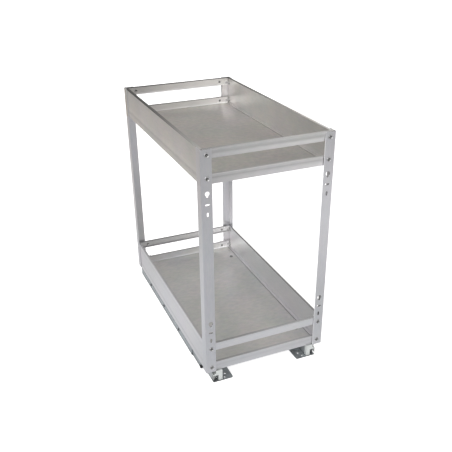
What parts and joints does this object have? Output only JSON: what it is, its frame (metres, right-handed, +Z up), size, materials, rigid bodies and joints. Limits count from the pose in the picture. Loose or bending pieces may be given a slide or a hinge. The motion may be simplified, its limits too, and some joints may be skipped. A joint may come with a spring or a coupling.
{
  "type": "pull-out cabinet basket",
  "caption": "Two-tier pull-out basket for a narrow base cabinet: shallow metal trays with railed ends on corner posts, carried by full-extension bottom slides.",
  "frame": {"origin": "middle of the underside, on the cabinet floor under the slides", "axes": "+Z up, -Y towards the front where the basket pulls out, +X to the right seen from the front"},
  "size_m": [0.25, 0.4716, 0.469],
  "materials": {
    "post": "satin silver-grey",
    "wall": "fine-brushed, satin",
    "rail": "fine-brushed, satin",
    "floor": "fine-brushed, satin",
    "runner": "galvanised",
    "bright_runner": "bright zinc",
    "ball_cage": "bright steel",
    "cap": "white nylon, satin",
    "bumper": "black, matt",
    "fastener": "zinc plated"
  },
  "bodies": {
    "cabinet_base": {"left_cabinet_runner": "runner", "left_end_bumper": "bumper", "right_cabinet_runner": "runner", "right_end_bumper": "bumper"},
    "left_middle_runner": {"left_middle_runner": "runner"},
    "left_lower_ball_cage": {"left_lower_ball_cage": "ball_cage"},
    "left_upper_ball_cage": {"left_upper_ball_cage": "ball_cage"},
    "right_middle_runner": {"right_middle_runner": "runner"},
    "right_lower_ball_cage": {"right_lower_ball_cage": "ball_cage"},
    "right_upper_ball_cage": {"right_upper_ball_cage": "ball_cage"},
    "basket": {"front_left_post": "post", "front_right_post": "post", "rear_left_post": "post", "rear_right_post": "post", "upper_left_wall": "wall", "upper_right_wall": "wall", "upper_front_top_rail": "rail", "upper_front_bottom_rail": "rail", "upper_rear_top_rail": "rail", "upper_rear_bottom_rail": "rail", "upper_floor": "floor", "lower_left_wall": "wall", "lower_right_wall": "wall", "lower_front_top_rail": "rail", "lower_front_bottom_rail": "rail", "lower_rear_top_rail": "rail", "lower_rear_bottom_rail": "rail", "lower_floor": "floor", "upper_left_top_front_screw": "fastener", "upper_left_top_rear_screw": "fastener", "upper_left_top_post_rivet": "fastener", "upper_left_bottom_front_screw": "fastener", "upper_left_bottom_rear_screw": "fastener", "upper_left_bottom_post_rivet": "fastener", "upper_right_top_front_screw": "fastener", "upper_right_top_rear_screw": "fastener", "upper_right_top_post_rivet": "fastener", "upper_right_bottom_front_screw": "fastener", "upper_right_bottom_rear_screw": "fastener", "upper_right_bottom_post_rivet": "fastener", "lower_left_top_front_screw": "fastener", "lower_left_top_rear_screw": "fastener", "lower_left_top_post_rivet": "fastener", "lower_left_bottom_front_screw": "fastener", "lower_left_bottom_rear_screw": "fastener", "lower_left_bottom_post_rivet": "fastener", "lower_right_top_front_screw": "fastener", "lower_right_top_rear_screw": "fastener", "lower_right_top_post_rivet": "fastener", "lower_right_bottom_front_screw": "fastener", "lower_right_bottom_rear_screw": "fastener", "lower_right_bottom_post_rivet": "fastener", "left_front_floor_screw": "fastener", "left_rear_floor_screw": "fastener", "left_basket_runner": "bright_runner", "left_front_cap": "cap", "right_front_floor_screw": "fastener", "right_rear_floor_screw": "fastener", "right_basket_runner": "bright_runner", "right_front_cap": "cap"}
  },
  "joints": [
    {"name": "basket_slide", "type": "slide", "parent": "cabinet_base", "child": "basket", "axis": [0, -1, 0], "range_m": [0, 0.44]},
    {"name": "left_middle_runner_slide", "type": "slide", "parent": "cabinet_base", "child": "left_middle_runner", "axis": [0, -1, 0], "range_m": [0, 0.22]},
    {"name": "left_lower_ball_cage_slide", "type": "slide", "parent": "cabinet_base", "child": "left_lower_ball_cage", "axis": [0, -1, 0], "range_m": [0, 0.11]},
    {"name": "left_upper_ball_cage_slide", "type": "slide", "parent": "cabinet_base", "child": "left_upper_ball_cage", "axis": [0, -1, 0], "range_m": [0, 0.33]},
    {"name": "right_middle_runner_slide", "type": "slide", "parent": "cabinet_base", "child": "right_middle_runner", "axis": [0, -1, 0], "range_m": [0, 0.22]},
    {"name": "right_lower_ball_cage_slide", "type": "slide", "parent": "cabinet_base", "child": "right_lower_ball_cage", "axis": [0, -1, 0], "range_m": [0, 0.11]},
    {"name": "right_upper_ball_cage_slide", "type": "slide", "parent": "cabinet_base", "child": "right_upper_ball_cage", "axis": [0, -1, 0], "range_m": [0, 0.33]}
  ],
  "couplings": [
    {"joint": "left_middle_runner_slide", "follows": "basket_slide", "ratio": 0.5},
    {"joint": "left_lower_ball_cage_slide", "follows": "basket_slide", "ratio": 0.25},
    {"joint": "left_upper_ball_cage_slide", "follows": "basket_slide", "ratio": 0.75},
    {"joint": "right_middle_runner_slide", "follows": "basket_slide", "ratio": 0.5},
    {"joint": "right_lower_ball_cage_slide", "follows": "basket_slide", "ratio": 0.25},
    {"joint": "right_upper_ball_cage_slide", "follows": "basket_slide", "ratio": 0.75}
  ]
}
